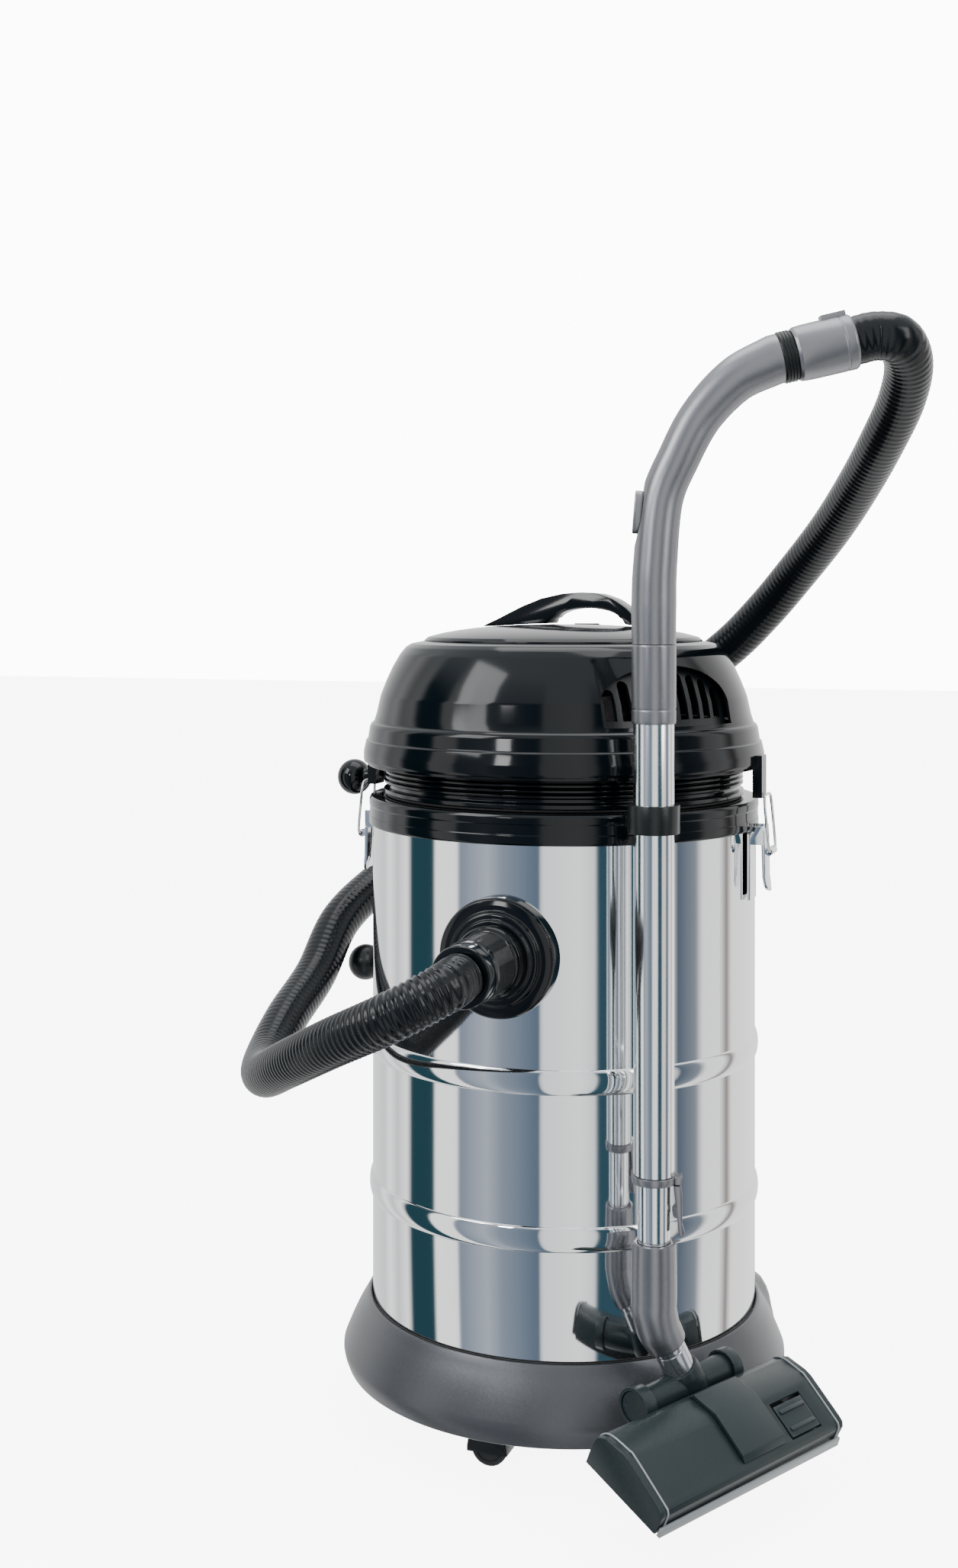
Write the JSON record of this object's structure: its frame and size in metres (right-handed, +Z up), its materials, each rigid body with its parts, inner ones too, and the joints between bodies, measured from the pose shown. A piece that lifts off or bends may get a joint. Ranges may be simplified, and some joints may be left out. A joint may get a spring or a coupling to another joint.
{
  "type": "wet and dry drum vacuum cleaner",
  "caption": "Steel drum vacuum cleaner with a lift-off motor head, side latches, caster base, corrugated hose, parked telescopic wand and a floor nozzle.",
  "frame": {"origin": "on the floor, under the middle of the whole object's box without the hose", "axes": "+Z up along the drum's axis, -Y towards the hose port, +X towards the parked wand"},
  "size_m": [0.6027, 0.5843, 0.9615],
  "materials": {
    "ring": "satin moulded plastic",
    "steel": "polished stainless steel",
    "chrome": "polished chrome plate",
    "gloss_black": "high-gloss moulded plastic",
    "matte_black": "satin moulded plastic",
    "wheel": "soft tread",
    "rubber": "matt rubber",
    "motor_metal": "cast and pressed metal",
    "white_plastic": "matt moulded plastic",
    "filter_cloth": "needle felt",
    "grey_plastic": "metallic satin paint on plastic",
    "chrome_plastic": "polished plastic",
    "nozzle_dark": "satin moulded plastic",
    "light_grey": "satin moulded plastic",
    "brush": "bristle strip",
    "hose": "corrugated flexible plastic"
  },
  "bodies": {
    "base": {"base_ring": "ring", "drum": "steel", "rim_band": "gloss_black", "drum_gasket": "rubber", "port_flange": "gloss_black", "inlet_deflector": "matte_black", "caster_socket": "matte_black", "rear_axle_left": "matte_black", "rear_axle_right": "matte_black", "latch_plate_left": "steel", "latch_plate_right": "steel", "cord_hook_lower": "matte_black", "park_clip": "matte_black", "inner_tube": "chrome", "wand_neck": "grey_plastic", "hose": "hose"},
    "head": {"head_lower_housing": "gloss_black", "head_cover": "gloss_black", "top_cap": "gloss_black", "cord_gland": "rubber", "exhaust_grille": "matte_black", "carry_handle": "gloss_black", "motor": "motor_metal", "bearing_lower": "chrome", "bearing_upper": "chrome", "fan_housing": "matte_black", "float_cage": "white_plastic", "cloth_filter": "filter_cloth", "filter_ring": "rubber", "cord_hook_upper": "gloss_black"},
    "rotor": {"motor_shaft": "chrome", "fan_impeller": "motor_metal"},
    "float": {"float_ball": "white_plastic"},
    "switch": {"power_switch": "matte_black"},
    "connector": {"hose_connector": "matte_black"},
    "caster": {"front_caster_fork": "matte_black"},
    "caster_wheel": {"front_caster_wheel": "wheel"},
    "wheel_left": {"rear_wheel_left": "wheel"},
    "wheel_right": {"rear_wheel_right": "wheel"},
    "lever_left": {"latch_lever_left": "steel"},
    "lever_right": {"latch_lever_right": "steel"},
    "bail_left": {"latch_bail_left": "chrome"},
    "bail_right": {"latch_bail_right": "chrome"},
    "handle": {"outer_tube": "chrome", "lock_ring": "grey_plastic", "handle_sleeve": "grey_plastic", "handle_grip": "grey_plastic", "ribbed_collar": "matte_black", "hose_cuff": "grey_plastic"},
    "lock": {"lock_lever": "grey_plastic"},
    "slider": {"suction_slider": "grey_plastic"},
    "elbow": {"nozzle_elbow": "chrome_plastic"},
    "nozzle": {"nozzle_shell": "nozzle_dark", "nozzle_end_cap_left": "nozzle_dark", "nozzle_end_cap_right": "nozzle_dark", "nozzle_sole": "matte_black", "nozzle_bumper": "light_grey", "nozzle_housing": "nozzle_dark"},
    "pedal": {"nozzle_pedal": "nozzle_dark"},
    "brush": {"brush_strip": "brush"}
  },
  "joints": [
    {"name": "head_lift", "type": "slide", "parent": "base", "child": "head", "axis": [0, 0, 1], "range_m": [0, 0.4]},
    {"name": "rotor_spin", "type": "hinge", "parent": "head", "child": "rotor", "pos_m": [-0.0234, 0.0513, 0.62], "axis": [0, 0, 1], "continuous": true},
    {"name": "float_rise", "type": "slide", "parent": "head", "child": "float", "axis": [0, 0, 1], "range_m": [0, 0.02]},
    {"name": "switch_rock", "type": "hinge", "parent": "head", "child": "switch", "pos_m": [-0.0234, 0.1363, 0.6992], "axis": [1, 0, 0], "range_deg": [0, 12]},
    {"name": "connector_swivel", "type": "hinge", "parent": "base", "child": "connector", "pos_m": [-0.0234, -0.1787, 0.432], "axis": [0, -1, 0], "continuous": true},
    {"name": "caster_swivel", "type": "hinge", "parent": "base", "child": "caster", "pos_m": [-0.0234, -0.1037, 0.04], "axis": [0, 0, 1], "continuous": true},
    {"name": "caster_roll", "type": "hinge", "parent": "caster", "child": "caster_wheel", "pos_m": [-0.0374, -0.1037, 0.016], "axis": [0, 1, 0], "continuous": true},
    {"name": "wheel_left_roll", "type": "hinge", "parent": "base", "child": "wheel_left", "pos_m": [-0.1664, 0.1713, 0.022], "axis": [1, 0, 0], "continuous": true},
    {"name": "wheel_right_roll", "type": "hinge", "parent": "base", "child": "wheel_right", "pos_m": [0.1196, 0.1713, 0.022], "axis": [1, 0, 0], "continuous": true},
    {"name": "latch_lever_left_swing", "type": "hinge", "parent": "base", "child": "lever_left", "pos_m": [-0.2099, 0.0433, 0.526], "axis": [0, 1, 0], "range_deg": [0, 100]},
    {"name": "latch_lever_right_swing", "type": "hinge", "parent": "base", "child": "lever_right", "pos_m": [0.1631, 0.0433, 0.526], "axis": [0, -1, 0], "range_deg": [0, 100]},
    {"name": "latch_bail_left_swing", "type": "hinge", "parent": "lever_left", "child": "bail_left", "pos_m": [-0.2189, 0.0433, 0.508], "axis": [0, -1, 0], "range_deg": [0, 115]},
    {"name": "latch_bail_right_swing", "type": "hinge", "parent": "lever_right", "child": "bail_right", "pos_m": [0.1721, 0.0433, 0.508], "axis": [0, 1, 0], "range_deg": [0, 115]},
    {"name": "wand_extend", "type": "slide", "parent": "base", "child": "handle", "axis": [0, 0, 1], "range_m": [0, 0.27], "deforming": ["hose"]},
    {"name": "lock_lever_tilt", "type": "hinge", "parent": "handle", "child": "lock", "pos_m": [0.12724, -0.12213, 0.2575], "axis": [0.3009, -0.9537, 0], "range_deg": [0, 10], "stiffness_Nm_per_rad": 0.05},
    {"name": "suction_slide", "type": "slide", "parent": "handle", "child": "slider", "axis": [0.0872, 0, 0.9962], "range_m": [0, 0.006]},
    {"name": "neck_swivel", "type": "hinge", "parent": "base", "child": "elbow", "pos_m": [0.11717, -0.11867, 0.12909], "axis": [0.3156, 0.3763, -0.8711], "range_deg": [-6, 6]},
    {"name": "nozzle_pitch", "type": "hinge", "parent": "elbow", "child": "nozzle", "pos_m": [0.12489, -0.11436, 0.09026], "axis": [-0.454, -0.891, 0], "range_deg": [0, 22]},
    {"name": "pedal_rock", "type": "hinge", "parent": "nozzle", "child": "pedal", "pos_m": [0.21531, -0.08412, 0.06754], "axis": [0.454, 0.891, 0], "range_deg": [0, 6]},
    {"name": "brush_drop", "type": "slide", "parent": "nozzle", "child": "brush", "axis": [-0.3481, 0.1774, -0.9205], "range_m": [0, 0.003]}
  ],
  "couplings": [
    {"joint": "latch_bail_left_swing", "follows": "latch_lever_left_swing", "ratio": 1.1},
    {"joint": "latch_bail_right_swing", "follows": "latch_lever_right_swing", "ratio": 1.1},
    {"joint": "brush_drop", "follows": "pedal_rock", "m_per_rad": 0.0285}
  ]
}
